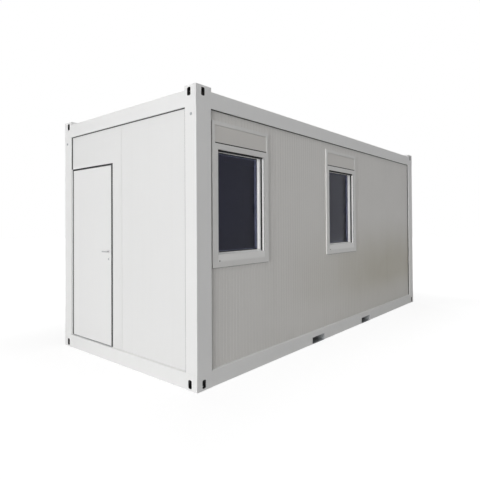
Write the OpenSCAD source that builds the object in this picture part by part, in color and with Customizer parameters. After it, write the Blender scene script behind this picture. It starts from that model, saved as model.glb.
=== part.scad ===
// Shipping container cabin
// A site cabin with a steel base frame, four folded corner posts and a roof frame set
// between corner castings. Sandwich panels close the walls. One end has a door that opens
// inwards, and one long wall has two windows under roller shutter boxes.
// Millimetres, Z up, the ground at z = 0 and the origin under the middle of the cabin.
// The door end faces -X and the window wall faces -Y.

/* [Overall size] */
// Length over the corner castings
cabin_length = 6055; // [5600:5:7200]
// Width over the corner castings
cabin_width = 2435; // [2300:5:3000]
// Height over the roof castings
cabin_height = 2896; // [2820:1:3100]

/* [Steel frame] */
// Height of the base rails and of the base castings
base_rail_height = 160; // [145:1:190]
// Height of the roof rails
roof_rail_height = 165; // [140:1:190]
// How far the roof castings stand above the roof rails
casting_rise = 38; // [34:1:60]
// Reach of the rail flanges into the cabin
rail_flange = 100; // [92:1:125]
// Turned edge at the end of a rail flange
rail_lip = 14; // [8:1:25]
// Sheet of the rails and posts
frame_sheet = 4; // [3:0.5:6]
// Inner radius of the folds in that sheet
fold_radius = 3; // [2:0.5:5]
// Width of a corner post on the end walls
post_end_face = 155; // [140:1:190]
// Width of a corner post on the long walls
post_side_face = 210; // [190:1:250]
// Closed box in the heart of a post, along the cabin
post_box_length = 152; // [120:1:170]
// Closed box in the heart of a post, across the cabin
post_box_width = 72; // [50:1:76]

/* [Corner castings] */
// Wall of a casting
casting_wall = 12; // [8:1:16]
// Width of the slots in the upright faces
face_slot_width = 46; // [36:1:60]
// Height of the slots in the upright faces
face_slot_height = 80; // [66:1:90]
// Corner radius of those slots
face_slot_corner = 13; // [8:1:16]
// Middle of a face slot from the corner edge
face_slot_inset = 95; // [70:1:105]
// Middle of a face slot from the ground, or from the roof casting's top
face_slot_level = 60; // [57:1:70]
// Width of the lifting slots in the flat faces
lift_slot_width = 63.5; // [50:0.5:70]
// Length of the lifting slots in the flat faces
lift_slot_length = 124; // [100:1:130]
// Middle of a lifting slot from the end of the cabin
lift_slot_end = 101; // [85:1:110]
// Middle of a lifting slot from the side of the cabin
lift_slot_side = 88; // [60:1:95]

/* [Floor] */
// Height of the floor joists
joist_height = 100; // [70:1:110]
// Flange of the floor joists
joist_flange = 40; // [30:1:60]
// Largest distance between joists
joist_pitch = 600; // [400:10:800]
// Floor board
deck_thickness = 18; // [12:1:25]
// Floor covering
covering_thickness = 2.5; // [2:0.5:4]
// Sheet under the joists
belly_sheet = 1.5; // [1:0.5:3]
// Clear width of a fork pocket
pocket_width = 310; // [250:1:360]
// Clear height of a fork pocket
pocket_height = 80; // [70:1:95]
// Distance between the middles of the fork pockets
pocket_spacing = 1510; // [900:10:2060]

/* [Wall panels] */
// Thickness of a wall panel
panel_thickness = 60; // [50:1:66]
// How far the panels stand behind the face of the frame
panel_recess = 20; // [16:1:25]
// Least width of a panel in a long wall
panel_least = 1140; // [1100:5:1150]
// Open joint between two panels
panel_joint = 3; // [2:0.5:6]
// Thickness of the tongue in a panel joint
tongue_thickness = 18; // [12:1:24]
// Reach of the tongue into the next panel
tongue_reach = 15; // [10:1:25]
// Least distance between the grooves in the long walls
groove_pitch = 50; // [40:1:80]
// Width of a groove
groove_width = 10; // [6:1:15]
// Depth of a groove
groove_depth = 1.8; // [1:0.1:2.5]

/* [Roof] */
// Sheet of the roof
roof_sheet_thickness = 2; // [1.5:0.5:3]
// Height of a roof rib
rib_height = 28; // [18:1:32]
// Flat top of a roof rib
rib_top = 40; // [25:1:60]
// Sloping flank of a roof rib, seen from above
rib_flank = 18; // [10:1:30]
// Distance between roof ribs
rib_pitch = 250; // [180:5:350]
// How far the roof sheet stays behind the face of the frame
roof_edge = 72; // [66:1:78]
// Ceiling board
ceiling_thickness = 12; // [9:1:18]
// Gap between the ceiling boards and the web of the roof rails
ceiling_gap = 25; // [15:1:40]

/* [Door] */
// Clear width between the jambs
door_width = 885; // [800:1:900]
// Height of the wall over the door frame
over_door_height = 378; // [300:1:500]
// Width of the wall panel beside the door
beside_door_width = 150; // [100:1:200]
// Distance from the corner post to the hinge jamb's edge
door_post_gap = 5; // [4:1:12]
// Face of the lock jamb and of the head
jamb_width = 35; // [30:1:45]
// Rubber seal on the reveal
seal_thickness = 16; // [12:1:18]
// Depth of the rubber seal
seal_depth = 16; // [10:1:20]
// How far the seal lies behind the face of the leaf
seal_set = 1; // [0.5:0.5:4]
// Gap between the leaf and the seal
leaf_gap = 7; // [6:1:10]
// How far the leaf stands behind the face of the panels
leaf_recess = 1; // [0:0.5:3]
// Thickness of the leaf
leaf_thickness = 50; // [48:1:52]
// Reach of the rim past the body of the leaf
rim_reach = 35; // [33:1:38]
// Thickness of the rim
rim_thickness = 10; // [8:1:12]
// Gap between the rim and the frame
rim_gap = 6; // [5:0.5:7]
// Threshold plate
threshold_thickness = 4; // [3:0.5:6]
// Gap under the leaf
foot_gap = 6; // [5:1:12]

/* [Door fittings] */
// Radius of a hinge knuckle
knuckle_radius = 8; // [7:0.5:9]
// Radius of a hinge pin
pin_radius = 5; // [4:0.5:5.5]
// Length of one half of a hinge
knuckle_length = 45; // [35:1:60]
// Distance of the hinge line from the leaf
hinge_offset = 19; // [18:1:22]
// Thickness of the hinge plates
hinge_plate = 4; // [3:0.5:5]
// Reach of a hinge plate over the jamb or the leaf
hinge_reach = 48; // [35:1:60]
// Width of the strap from the leaf's plate to its knuckle
hinge_strap = 7; // [5:1:8]
// Gap between the two halves of a hinge
hinge_gap = 1; // [0.5:0.5:3]
// End wall of a bored knuckle over its pin
pin_cover = 4; // [3:1:8]
// Height of the lever above the ground
lever_level = 1255; // [1150:5:1300]
// Distance of the lever from the edge of the leaf
lever_backset = 45; // [40:1:60]
// Length of the lever from its spindle
lever_reach = 96; // [86:1:120]
// Radius of the lever and its spindle
lever_radius = 7.5; // [7:0.5:9]
// Clear space behind the lever
lever_space = 27; // [24:1:36]
// Radius of the roses round the spindle
rose_radius = 23; // [21:1:27]
// Thickness of the roses
rose_thickness = 6; // [5:1:10]
// Distance from the lever down to the lock
lock_drop = 86; // [72:1:95]

/* [Windows] */
// Width of the casing
window_width = 934; // [850:1:960]
// Height of the casing with the shutter box
window_height = 1449; // [1350:1:1455]
// Distance from the roof rail down to the casing
window_top_gap = 103; // [60:1:150]
// Distance from the corner post to the first casing
window_post_gap = 21; // [12:1:30]
// How far the casing stands out from the panel
casing_proud = 15; // [8:1:15]
// How far the casing laps over the panel
casing_lap = 30; // [20:1:35]
// Face of the casing beside the window
casing_face = 82; // [76:1:90]
// Face of the casing below the window
sill_face = 128; // [115:1:140]
// Face of the casing round the shutter box
box_face = 40; // [36:1:50]
// Height of the shutter box
box_height = 180; // [160:1:200]
// Casing rail between the window and the shutter box
box_rail = 58; // [50:1:70]
// How far the cover of the shutter box lies behind the casing
cover_recess = 4; // [2:1:8]
// How far the shutter box stands into the room
box_reach = 110; // [80:1:130]
// Front of the sash behind the face of the frame
sash_depth = 62; // [56:1:66]
// Thickness of the sash
sash_thickness = 56; // [53:1:62]
// Face of the sash
sash_face = 53; // [48:1:60]
// Width of the sloping edge that runs from the sash's face down to the glass
sash_splay = 20; // [14:1:24]
// How far the sash reaches behind the casing at its sides
sash_side_lap = 20; // [12:1:24]
// How far the sash reaches behind the casing at its top and bottom
sash_end_lap = 38; // [30:1:42]
// Thickness of the glass
glass_thickness = 20; // [16:1:24]
// How far the glass stands behind the face of the sash
glass_set = 24; // [18:1:26]
// Depth of the glass in the sash groove
glass_bite = 8; // [5:1:12]
// Width of the shutter guide grooves
guide_width = 14; // [10:1:16]
// Depth of the shutter guide grooves
guide_depth = 25; // [15:1:30]
// Front of the guide grooves behind the face of the frame
guide_front = 44; // [40:1:45]
// Front of the shutter slot behind the face of the frame
slot_front = 20; // [14:1:28]
// How far the shutter's end bar stays up in its slot
bar_rise = 14; // [8:1:25]

/* [Window handles] */
// Width of the plate
handle_plate_width = 28; // [24:1:34]
// Height of the plate
handle_plate_height = 80; // [60:1:100]
// Thickness of the plate
handle_plate_thickness = 6; // [4:1:10]
// Radius of the neck
handle_neck_radius = 9; // [7:0.5:11]
// Clear space behind the grip
handle_space = 28; // [22:1:36]
// Width of the grip
handle_grip_width = 22; // [19:1:26]
// Thickness of the grip
handle_grip_thickness = 14; // [10:1:18]
// Length of the grip from the neck
handle_grip_length = 115; // [95:1:130]

/* [Fits] */
// Clearance between pieces that are slid together
fit = 0.5; // [0.3:0.1:0.8]
// Clearance round pins and spindles
pin_fit = 0.4; // [0.35:0.05:0.6]

/* [Hidden] */
$fn = 48;
half_length = cabin_length / 2;
half_width = cabin_width / 2;
roof_rail_top = cabin_height - casting_rise;
roof_rail_low = roof_rail_top - roof_rail_height;
floor_level = base_rail_height;
panel_back = panel_recess + panel_thickness;
side_span = half_length - post_box_length - fit;
end_span = half_width - post_box_width - fit;
panels_per_side = floor((2 * side_span + panel_joint) / (panel_least + panel_joint));
panel_width = (2 * side_span - (panels_per_side - 1) * panel_joint) / panels_per_side;
panel_pitch = panel_width + panel_joint;
inner_length = half_length - post_side_face - fit;
inner_width = half_width - post_end_face - fit;
joist_top = floor_level - deck_thickness;
joist_low = joist_top - joist_height;
pocket_outer = pocket_width / 2 + frame_sheet;
window_sill = roof_rail_low - window_top_gap - window_height;
door_head = roof_rail_low - over_door_height - jamb_width;
hinge_jamb = half_width - post_end_face - door_post_gap;
lock_jamb = hinge_jamb - door_width;
door_seam = lock_jamb - jamb_width - fit - beside_door_width;
leaf_side_gap = seal_thickness + leaf_gap;
rim_over = rim_reach - leaf_side_gap;
leaf_front = panel_recess + leaf_recess;
leaf_back = leaf_front + leaf_thickness;
rim_front = leaf_back - rim_thickness;
rebate_front = rim_front - rim_gap;
leaf_low = floor_level + threshold_thickness + foot_gap;
leaf_top = door_head - leaf_side_gap;
hinge_x = leaf_back + hinge_offset;
hinge_y = hinge_jamb + rim_over + rim_gap / 2;
hinge_levels = [for (f = [0.12, 0.5, 0.88]) leaf_low + f * (leaf_top - leaf_low)];
lever_y = lock_jamb + leaf_side_gap + lever_backset;
opening_half = window_width / 2 - casing_face;
box_low = window_height - box_face - box_height;
window_opening_top = box_low - box_rail;
sash_half = opening_half + sash_side_lap;
sash_low = sill_face - sash_end_lap;
sash_high = window_opening_top + sash_end_lap;
sash_back = sash_depth + sash_thickness;
glass_front = sash_depth + glass_set;

// Placing

// A corner drawn at the door end and window side, turned to any of the four corners.
// x runs in from the end of the cabin and y in from its side.
module at_corner(end, side) {
    mirror([end > 0 ? 1 : 0, 0, 0])
        mirror([0, side > 0 ? 1 : 0, 0])
            translate([-half_length, -half_width, 0])
                children();
}

// An end wall: x is the depth from the end face, y runs across the cabin
module at_end(end) {
    mirror([end > 0 ? 1 : 0, 0, 0])
        translate([-half_length, 0, 0])
            children();
}

// A long wall: y is the depth from the side face, x runs along the cabin
module at_side(side) {
    mirror([0, side > 0 ? 1 : 0, 0])
        translate([0, -half_width, 0])
            children();
}

// A window: x from its middle, y the depth from the side face, z from the casing's low edge
module at_window(k) {
    near_mid = -half_length + post_side_face + window_post_gap + window_width / 2;
    translate([near_mid + 2 * k * panel_pitch, -half_width, window_sill])
        children();
}

// Shared shapes

function unit(v) = v / norm(v);
function left_of(v) = [-v[1], v[0]];

// A path moved to its left by a distance, with mitred corners
function moved(path, d) = [
    for (i = [0 : len(path) - 1])
        let (
            a = unit(i > 0 ? path[i] - path[i - 1] : path[1] - path[0]),
            b = i < len(path) - 1 ? unit(path[i + 1] - path[i]) : a
        )
        path[i] + (left_of(a) + left_of(b)) * d / (1 + a * b)
];

function reversed(list) = [for (i = [len(list) - 1 : -1 : 0]) list[i]];

// A path with each square turn rounded to a radius
function rounded(path, r) = concat(
    [path[0]],
    [
        for (i = [1 : len(path) - 2], t = [0 : 22.5 : 90])
            let (
                a = unit(path[i] - path[i - 1]),
                b = unit(path[i + 1] - path[i])
            )
            path[i] + r * (b - a) + r * (a * sin(t) - b * cos(t))
    ],
    [path[len(path) - 1]]
);

// The section of a sheet that follows a path, with its thickness to the left
module sheet(path, t) {
    polygon(concat(path, reversed(moved(path, t))));
}

// The section of a frame sheet folded square along a path
module folded(path) {
    sheet(rounded(path, frame_sheet + fold_radius), frame_sheet);
}

// A rectangle drawn in by an inset, with the corner at the origin folded round
module folded_corner(size, inset) {
    far = [size[0] - inset, size[1] - inset];
    bend = rounded(
        [[inset, far[1]], [inset, inset], [far[0], inset]],
        frame_sheet + fold_radius - inset
    );
    polygon(concat(bend, [far]));
}

// A section drawn in depth and height, run along Y
module run_y(length) {
    rotate([90, 0, 0])
        linear_extrude(length, center = true)
            children();
}

// A section drawn in depth and height, run along X
module run_x(length) {
    rotate([90, 0, 90])
        linear_extrude(length, center = true)
            children();
}

// A box between two corners
module span(a, b) {
    translate(a)
        cube(b - a);
}

// A bar with half-round ends, standing on Z, long along X
module slot_bar(width, length, height) {
    run = (length - width) / 2;
    for (s = [-1, 1])
        translate([s * run, 0, 0])
            cylinder(r = width / 2, h = height);
    translate([-run, -width / 2, 0])
        cube([2 * run, width, height]);
}

// A bar with rounded long edges, standing on Z, long along X
module rounded_bar(width, length, corner, height) {
    x = length / 2 - corner;
    y = width / 2 - corner;
    linear_extrude(height) {
        square([length, 2 * y], center = true);
        square([2 * x, width], center = true);
        for (i = [-1, 1], j = [-1, 1])
            translate([i * x, j * y])
                circle(r = corner);
    }
}

// Places spread evenly between two ends, no further apart than a pitch
function spread(a, b, pitch) =
    let (n = ceil((b - a) / pitch))
    [for (i = [1 : n - 1]) a + (b - a) * i / n];

// Steel frame

// The folded channel of a rail, open towards the inside
module rail_section(low, height) {
    translate([0, low])
        folded([
            [rail_flange, height - rail_lip],
            [rail_flange, height],
            [0, height],
            [0, 0],
            [rail_flange, 0],
            [rail_flange, rail_lip]
        ]);
}

module end_rail(end, low, height) {
    color("WhiteSmoke")
        at_end(end)
            run_y(cabin_width - 2 * post_end_face)
                rail_section(low, height);
}

module side_rail(side, low, height) {
    at_side(side)
        run_x(cabin_length - 2 * post_side_face)
            rail_section(low, height);
}

// A base rail of the long walls, cut for the fork pockets
module pocket_rail(side) {
    color("WhiteSmoke")
        difference() {
            side_rail(side, 0, base_rail_height);
            for (s = [-1, 1])
                translate([s * pocket_spacing / 2, 0, 0])
                    span(
                        [-pocket_outer - fit, -half_width - 1, -1],
                        [pocket_outer + fit, half_width + 1, pocket_height + 2 * frame_sheet + fit]
                    );
        }
}

module plain_rail(side) {
    color("WhiteSmoke")
        side_rail(side, roof_rail_low, roof_rail_height);
}

module face_slot() {
    rounded_bar(face_slot_width, face_slot_height, face_slot_corner, casting_wall + 2);
}

// A hollow casting with a slot in each upright outer face
module casting(low, high, slot_level) {
    difference() {
        span([0, 0, low], [post_side_face, post_end_face, high]);
        span(
            [casting_wall, casting_wall, low + casting_wall],
            [post_side_face - casting_wall, post_end_face - casting_wall, high - casting_wall]
        );
        // Slot in the end face
        translate([-1, face_slot_inset, slot_level])
            rotate([0, 90, 0])
                face_slot();
        // Slot in the side face
        translate([face_slot_inset, -1, slot_level])
            rotate([-90, 90, 0])
                face_slot();
    }
}

module lift_slot(level) {
    translate([lift_slot_end, lift_slot_side, level])
        slot_bar(lift_slot_width, lift_slot_length, casting_wall + 2);
}

module base_castings() {
    color("WhiteSmoke")
        for (end = [-1, 1], side = [-1, 1])
            at_corner(end, side)
                difference() {
                    casting(0, base_rail_height, face_slot_level);
                    lift_slot(-1);
                }
}

module roof_castings() {
    color("WhiteSmoke")
        for (end = [-1, 1], side = [-1, 1])
            at_corner(end, side)
                difference() {
                    casting(roof_rail_low, cabin_height, cabin_height - face_slot_level);
                    lift_slot(cabin_height - casting_wall - 1);
                }
}

// Boards of one layer that leave the corners to the castings: one over the length between
// them, and one at each end that fits between two castings
module main_board(reach_y, low, high) {
    span([-inner_length, -reach_y, low], [inner_length, reach_y, high]);
}

module end_boards(edge, low, high) {
    for (end = [-1, 1])
        at_end(end)
            span([edge, -inner_width, low], [post_side_face, inner_width, high]);
}

// A corner post folded from sheet: a closed box with two faces whose turned edges
// hold the wall panels
module post(end, side) {
    color("WhiteSmoke")
        at_corner(end, side)
            translate([0, 0, base_rail_height])
                linear_extrude(roof_rail_low - base_rail_height) {
                    difference() {
                        folded_corner([post_box_length, post_box_width], 0);
                        folded_corner([post_box_length, post_box_width], frame_sheet);
                    }
                    folded([
                        [panel_recess, post_end_face],
                        [0, post_end_face],
                        [0, post_box_width / 2]
                    ]);
                    folded([
                        [post_box_length / 2, 0],
                        [post_side_face, 0],
                        [post_side_face, panel_recess]
                    ]);
                }
}

// Floor

// Square steel tunnels that take the forks of a lift truck
module fork_pockets() {
    color("Gainsboro")
        for (s = [-1, 1])
            translate([s * pocket_spacing / 2, 0, 0])
                difference() {
                    span(
                        [-pocket_outer, -half_width, 0],
                        [pocket_outer, half_width, pocket_height + 2 * frame_sheet]
                    );
                    span(
                        [-pocket_width / 2, -half_width - 1, frame_sheet],
                        [pocket_width / 2, half_width + 1, pocket_height + frame_sheet]
                    );
                }
}

// Folded channels across the cabin, set between the long base rails
module floor_joists() {
    edge = half_length - post_side_face;
    inner = pocket_spacing / 2 - pocket_outer;
    outer = pocket_spacing / 2 + pocket_outer;
    places = concat(
        spread(-edge, -outer, joist_pitch),
        spread(-inner, inner, joist_pitch),
        spread(outer, edge, joist_pitch)
    );
    color("Silver")
        for (x = places)
            translate([x - joist_flange / 2, 0, joist_low])
                run_y(cabin_width - 2 * frame_sheet)
                    folded([
                        [joist_flange, joist_height],
                        [0, joist_height],
                        [0, 0],
                        [joist_flange, 0]
                    ]);
}

// Thin sheets under the joists, parted by the fork pockets
module belly_sheets() {
    edge = frame_sheet + fit;
    low = joist_low - belly_sheet;
    color("Silver") {
        difference() {
            main_board(half_width - edge, low, joist_low);
            for (s = [-1, 1])
                translate([s * pocket_spacing / 2, 0, 0])
                    span(
                        [-pocket_outer - fit, -half_width, -1],
                        [pocket_outer + fit, half_width, base_rail_height]
                    );
        }
        end_boards(edge, low, joist_low);
    }
}

// Floor boards between the rail flanges
module floor_deck() {
    edge = rail_flange + fit;
    color("BurlyWood") {
        main_board(half_width - edge, joist_top, floor_level);
        end_boards(edge, joist_top, floor_level);
    }
}

// Sheet covering over the board and the rail flanges
module floor_covering() {
    reach_x = half_length - panel_back - fit;
    reach_y = half_width - panel_back - fit;
    color("DimGray")
        span(
            [-reach_x, -reach_y, floor_level],
            [reach_x, reach_y, floor_level + covering_thickness]
        );
}

// Roof

// Ribbed sheet laid on the long roof rails, with a flat sheet between the castings at each end
module roof_sheet() {
    ribs = floor(2 * inner_length / rib_pitch);
    first = -(ribs - 1) / 2 * rib_pitch;
    outline = concat(
        [[-inner_length, 0]],
        [
            for (i = [0 : ribs - 1], p = [
                [-rib_top / 2 - rib_flank, 0],
                [-rib_top / 2, rib_height],
                [rib_top / 2, rib_height],
                [rib_top / 2 + rib_flank, 0]
            ])
            [first + i * rib_pitch, 0] + p
        ],
        [[inner_length, 0]]
    );
    color("Gainsboro") {
        translate([0, 0, roof_rail_top])
            run_y(cabin_width - 2 * roof_edge)
                sheet(outline, roof_sheet_thickness);
        end_boards(roof_edge, roof_rail_top, roof_rail_top + roof_sheet_thickness);
    }
}

// Boards on the turned edges of the roof rails
module ceiling() {
    low = roof_rail_low + rail_lip;
    edge = frame_sheet + ceiling_gap;
    color("White") {
        main_board(half_width - edge, low, low + ceiling_thickness);
        end_boards(edge, low, low + ceiling_thickness);
    }
}

// Wall panels

// Shallow grooves spread along the outer face of a panel from a to b
function face_grooves(a, b) =
    let (n = floor((b - a) / groove_pitch))
    [
        for (i = [0 : n - 1], p = [[-1, 0], [0, groove_depth], [1, 0]])
            [a + (b - a) * (i + 0.5) / n + p[0] * groove_width / 2, panel_recess + p[1]]
    ];

// Plan of a panel from a to b along its wall, with a tongue at b and a groove at a
function panel_plan(a, b, groove, tongue, face = []) =
    let (
        mid = panel_recess + panel_thickness / 2,
        k = tongue_thickness / 2,
        tip = b + panel_joint + tongue_reach,
        root = a + tongue_reach + fit
    )
    concat(
        [[a, panel_recess]],
        face,
        [[b, panel_recess]],
        tongue ? [[b, mid - k], [tip, mid - k], [tip, mid + k], [b, mid + k]] : [],
        [[b, panel_back], [a, panel_back]],
        groove
            ? [[a, mid + k + fit], [root, mid + k + fit], [root, mid - k - fit], [a, mid - k - fit]]
            : []
    );

// A panel in an end wall, from a to b across the cabin
module end_panel(end, a, b, low, high, groove, tongue) {
    at_end(end)
        translate([0, 0, low])
            linear_extrude(high - low)
                polygon([for (p = panel_plan(a, b, groove, tongue)) [p[1], p[0]]]);
}

// Panel i of a long wall, counted from the door end
module side_panel(side, i) {
    a = -side_span + i * panel_pitch;
    b = a + panel_width;
    at_side(side)
        translate([0, 0, base_rail_height])
            linear_extrude(roof_rail_low - base_rail_height)
                polygon(panel_plan(a, b, i > 0, i < panels_per_side - 1, face_grooves(a, b)));
}

module door_end_panel() {
    color("WhiteSmoke")
        end_panel(
            -1, -end_span, door_seam - panel_joint,
            base_rail_height, roof_rail_low, false, true
        );
}

module beside_door_panel() {
    color("WhiteSmoke")
        end_panel(
            -1, door_seam, lock_jamb - jamb_width - fit,
            base_rail_height, door_head + jamb_width, true, false
        );
}

module over_door_panel() {
    color("WhiteSmoke")
        end_panel(
            -1, door_seam, end_span,
            door_head + jamb_width, roof_rail_low, true, false
        );
}

module back_end_panels() {
    color("WhiteSmoke") {
        end_panel(1, -end_span, -panel_joint / 2, base_rail_height, roof_rail_low, false, true);
        end_panel(1, panel_joint / 2, end_span, base_rail_height, roof_rail_low, true, false);
    }
}

module window_side_panels() {
    color("WhiteSmoke")
        for (i = [0 : panels_per_side - 1])
            if (i != 0 && i != 2)
                side_panel(-1, i);
}

module plain_side_panels() {
    color("WhiteSmoke")
        for (i = [0 : panels_per_side - 1])
            side_panel(1, i);
}

// The panel that holds window k, cut out behind the casing
module window_panel(k) {
    color("WhiteSmoke")
        difference() {
            side_panel(-1, 2 * k);
            at_window(k)
                span(
                    [-window_width / 2 + casing_lap, -1, casing_lap],
                    [window_width / 2 - casing_lap, panel_back + 1, window_height - casing_lap]
                );
        }
}

// Windows

// Casing with a lap over the panel, guide grooves for the shutter, a slot above them and a
// rebate on the room side for the sash
module casing(k) {
    front = panel_recess - casing_proud;
    sleeve = casing_lap + fit;
    box_half = window_width / 2 - box_face;
    guide_half = opening_half + guide_depth;
    guide_back = guide_front + guide_width;
    color("White")
        at_window(k)
            difference() {
                union() {
                    span(
                        [-window_width / 2, front, 0],
                        [window_width / 2, panel_recess, window_height]
                    );
                    span(
                        [-window_width / 2 + sleeve, front, sleeve],
                        [window_width / 2 - sleeve, panel_back, window_height - sleeve]
                    );
                }
                // Window opening
                span(
                    [-opening_half, 0, sill_face],
                    [opening_half, panel_back + 1, window_opening_top]
                );
                // Rebate of the sash
                span(
                    [-sash_half, sash_depth - fit, sash_low],
                    [sash_half, panel_back + 1, sash_high]
                );
                // Opening of the shutter box
                span([-box_half, 0, box_low], [box_half, panel_back + 1, box_low + box_height]);
                // Guide grooves of the shutter
                span(
                    [-guide_half, guide_front, sill_face],
                    [guide_half, guide_back, box_low + 1]
                );
                // Slot that the shutter comes through
                span(
                    [-opening_half, slot_front, window_opening_top - 1],
                    [opening_half, guide_back, box_low + 1]
                );
            }
}

// Housing of the rolled shutter, from its outer cover to its back in the room
module shutter_box(k) {
    half = window_width / 2 - box_face - fit;
    color("White")
        at_window(k)
            span(
                [-half, panel_recess - casing_proud + cover_recess, box_low + fit],
                [half, panel_back + box_reach, box_low + box_height - fit]
            );
}

// End bars of the raised shutters, hanging in their slots
module shutter_bars() {
    half = opening_half + guide_depth - 2 * fit;
    color("LightGray")
        for (k = [0, 1])
            at_window(k)
                span(
                    [-half, guide_front + fit, window_opening_top + bar_rise],
                    [half, guide_front + guide_width - fit, box_low + fit]
                );
}

// The section of a sash's sloping edges: as wide as the view of the glass at the glass, and
// wider by a splay on both sides at the face of the sash
module splay_section(low, high) {
    polygon([
        [low - sash_splay, sash_depth - 1],
        [low - sash_splay, sash_depth],
        [low, glass_front],
        [high, glass_front],
        [high + sash_splay, sash_depth],
        [high + sash_splay, sash_depth - 1]
    ]);
}

// Sash with edges that slope down to the glass and a groove all round for it
module sash(k) {
    half = sash_half - fit;
    low = sash_low + fit;
    high = sash_high - fit;
    color("White")
        at_window(k)
            difference() {
                span([-half, sash_depth, low], [half, sash_back, high]);
                // View of the glass
                span(
                    [-half + sash_face, sash_depth - 1, low + sash_face],
                    [half - sash_face, sash_back + 1, high - sash_face]
                );
                // Sloping edges
                intersection() {
                    translate([0, 0, low])
                        linear_extrude(high - low)
                            splay_section(-half + sash_face, half - sash_face);
                    rotate([0, 90, 0])
                        linear_extrude(2 * half, center = true)
                            mirror([1, 0])
                                splay_section(low + sash_face, high - sash_face);
                }
                // Groove of the glass
                span(
                    [-half + sash_face - glass_bite, glass_front, low + sash_face - glass_bite],
                    [
                        half - sash_face + glass_bite,
                        glass_front + glass_thickness,
                        high - sash_face + glass_bite
                    ]
                );
            }
}

// Sealed glazing unit in the sash groove
module glass(k) {
    edge = sash_face - glass_bite + 2 * fit;
    half = sash_half - edge;
    color("SteelBlue", 0.5)
        at_window(k)
            span(
                [-half, glass_front + fit / 2, sash_low + edge],
                [half, glass_front + glass_thickness - fit / 2, sash_high - edge]
            );
}

// Turn handles on the room side of the sashes
module window_handles() {
    x = sash_half - sash_face / 2;
    z = (sash_low + sash_high) / 2;
    plate = [handle_plate_width / 2, handle_plate_height / 2];
    grip = handle_grip_width / 2;
    reach = handle_space + handle_grip_thickness;
    color("Silver")
        for (k = [0, 1])
            at_window(k)
                translate([x, sash_back, z]) {
                    span([-plate[0], 0, -plate[1]], [plate[0], handle_plate_thickness, plate[1]]);
                    rotate([-90, 0, 0])
                        cylinder(r = handle_neck_radius, h = reach);
                    translate([0, handle_space, 0])
                        rotate([-90, 0, 0])
                            cylinder(r = grip, h = handle_grip_thickness);
                    span([-grip, handle_space, -handle_grip_length], [grip, reach, 0]);
                }
}

// Door

// Jambs and head with a rebate on the room side for the rim of the leaf
module door_frame() {
    over = rim_over + rim_gap;
    color("WhiteSmoke")
        at_end(-1)
            difference() {
                span(
                    [panel_recess, lock_jamb - jamb_width, base_rail_height],
                    [panel_back, end_span, door_head + jamb_width]
                );
                span([0, lock_jamb, 0], [panel_back + 1, hinge_jamb, door_head]);
                span(
                    [rebate_front, lock_jamb - over, 0],
                    [panel_back + 1, hinge_jamb + over, door_head + over]
                );
            }
}

// Rubber seal on the two jambs and under the head
module door_seal() {
    front = leaf_front + seal_set;
    low = floor_level + threshold_thickness;
    color("Black")
        at_end(-1)
            difference() {
                span([front, lock_jamb, low], [front + seal_depth, hinge_jamb, door_head]);
                span(
                    [front - 1, lock_jamb + seal_thickness, low - 1],
                    [front + seal_depth + 1, hinge_jamb - seal_thickness, door_head - seal_thickness]
                );
            }
}

module door_threshold() {
    color("Silver")
        at_end(-1)
            span(
                [panel_recess, lock_jamb, floor_level],
                [panel_back, hinge_jamb, floor_level + threshold_thickness]
            );
}

// Flush body with a thin rim on three sides that laps over the frame from the room side
module door_leaf() {
    a = lock_jamb + leaf_side_gap;
    b = hinge_jamb - leaf_side_gap;
    color("WhiteSmoke")
        at_end(-1)
            difference() {
                union() {
                    span([leaf_front, a, leaf_low], [leaf_back, b, leaf_top]);
                    span(
                        [rim_front, a - rim_reach, leaf_low],
                        [leaf_back, b + rim_reach, leaf_top + rim_reach]
                    );
                }
                translate([leaf_front - 1, lever_y, lever_level])
                    rotate([0, 90, 0])
                        cylinder(r = lever_radius + pin_fit, h = leaf_thickness + 2);
            }
}

// Lower hinge halves on the jamb, each with the pin that the leaf turns on
module jamb_hinges() {
    color("Silver")
        at_end(-1)
            for (z = hinge_levels)
                translate([hinge_x, hinge_y, z]) {
                    translate([0, 0, -knuckle_length])
                        cylinder(r = knuckle_radius, h = knuckle_length);
                    translate([0, 0, -knuckle_length])
                        cylinder(r = pin_radius, h = 2 * knuckle_length - pin_cover);
                    span(
                        [panel_back - hinge_x, 0, -knuckle_length],
                        [panel_back - hinge_x + hinge_plate, hinge_reach, 0]
                    );
                }
}

// Upper hinge halves on the leaf, bored for the pins
module leaf_hinges() {
    color("Silver")
        at_end(-1)
            for (z = hinge_levels)
                translate([hinge_x, hinge_y, z + hinge_gap])
                    difference() {
                        edge = -rim_gap / 2 - hinge_gap;
                        union() {
                            cylinder(r = knuckle_radius, h = knuckle_length);
                            span(
                                [-hinge_offset, edge - hinge_strap, 0],
                                [0, edge, knuckle_length]
                            );
                            span(
                                [-hinge_offset, edge - hinge_reach, 0],
                                [-hinge_offset + hinge_plate, edge, knuckle_length]
                            );
                        }
                        translate([0, 0, -1])
                            cylinder(
                                r = pin_radius + pin_fit,
                                h = knuckle_length - pin_cover + 1
                            );
                    }
}

// Round plates on both faces of the leaf, for the lever and for the lock
module door_roses() {
    color("Silver")
        at_end(-1)
            for (x = [leaf_front - rose_thickness, leaf_back]) {
                translate([x, lever_y, lever_level])
                    rotate([0, 90, 0])
                        difference() {
                            cylinder(r = rose_radius, h = rose_thickness);
                            translate([0, 0, -1])
                                cylinder(r = lever_radius + pin_fit, h = rose_thickness + 2);
                        }
                translate([x, lever_y, lever_level - lock_drop])
                    rotate([0, 90, 0])
                        cylinder(r = rose_radius, h = rose_thickness);
            }
}

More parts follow.
